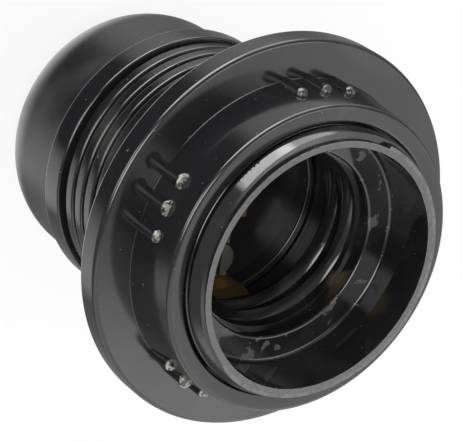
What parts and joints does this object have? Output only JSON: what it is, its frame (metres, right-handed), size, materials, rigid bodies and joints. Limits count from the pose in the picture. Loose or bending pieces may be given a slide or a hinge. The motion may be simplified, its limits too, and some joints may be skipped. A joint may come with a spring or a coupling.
{
  "type": "lamp holder",
  "caption": "Lamp holder in moulded black phenolic: threaded shell with a finger-ribbed shade ring, domed rear cap with a cable entry, spring contacts and screw terminals inside.",
  "frame": {"origin": "centre of the rear cap's end face, on the axis of the lamp and of the cable entry", "axes": "+Z along the axis, from the cable entry to the mouth; +X from the axis towards the centre contact's screw"},
  "size_m": [0.0574, 0.0574, 0.058],
  "materials": {
    "black_phenolic": "moulded gloss, dusty, with small scratches",
    "carrier_phenolic": "moulded, satin",
    "brass": "dull, punched strip",
    "spring_steel": "blued, dull",
    "plated_steel": "zinc plated, satin"
  },
  "bodies": {
    "cap_and_carrier": {"rear_cap": "black_phenolic", "contact_carrier": "carrier_phenolic", "live_terminal_plate": "brass", "neutral_terminal_plate": "brass", "centre_contact_screw": "plated_steel", "side_contact_screw": "plated_steel"},
    "shell": {"threaded_shell": "black_phenolic"},
    "ring": {"shade_ring": "black_phenolic"},
    "centre_spring": {"centre_contact": "brass", "contact_backing_spring": "spring_steel"},
    "side_spring": {"side_contact": "brass"},
    "live_washers": {"live_clamp_washer": "plated_steel", "live_spring_washer": "spring_steel"},
    "neutral_washers": {"neutral_clamp_washer": "plated_steel", "neutral_spring_washer": "spring_steel"},
    "live_screw": {"live_terminal_screw": "plated_steel"},
    "neutral_screw": {"neutral_terminal_screw": "plated_steel"}
  },
  "joints": [
    {"name": "shell_lift", "type": "slide", "parent": "cap_and_carrier", "child": "shell", "axis": [0, 0, 1], "range_m": [0, 0.03]},
    {"name": "ring_travel", "type": "slide", "parent": "shell", "child": "ring", "axis": [0, 0, 1], "range_m": [-0.0203, 0.0165]},
    {"name": "centre_contact_flex", "type": "hinge", "parent": "cap_and_carrier", "child": "centre_spring", "pos_m": [0.0056, 0, 0.0322], "axis": [0, -1, 0], "range_deg": [0, 12], "stiffness_Nm_per_rad": 0.01, "deforming": ["centre_contact", "contact_backing_spring"]},
    {"name": "side_contact_flex", "type": "hinge", "parent": "cap_and_carrier", "child": "side_spring", "pos_m": [-0.0128, 0, 0.0322], "axis": [0, -1, 0], "range_deg": [0, 4], "stiffness_Nm_per_rad": 0.01, "deforming": ["side_contact"]},
    {"name": "live_washers_travel", "type": "slide", "parent": "cap_and_carrier", "child": "live_washers", "axis": [0, 0, -1], "range_m": [0, 0.0018]},
    {"name": "live_screw_turn", "type": "hinge", "parent": "live_washers", "child": "live_screw", "pos_m": [0.00579, 0.00689, 0.0242], "axis": [0, 0, -1], "range_deg": [0, 1080]},
    {"name": "neutral_washers_travel", "type": "slide", "parent": "cap_and_carrier", "child": "neutral_washers", "axis": [0, 0, -1], "range_m": [0, 0.0018]},
    {"name": "neutral_screw_turn", "type": "hinge", "parent": "neutral_washers", "child": "neutral_screw", "pos_m": [-0.00579, -0.00689, 0.0242], "axis": [0, 0, -1], "range_deg": [0, 1080]}
  ],
  "couplings": [
    {"joint": "live_screw_turn", "follows": "live_washers_travel", "rad_per_m": 10472},
    {"joint": "neutral_screw_turn", "follows": "neutral_washers_travel", "rad_per_m": 10472}
  ]
}
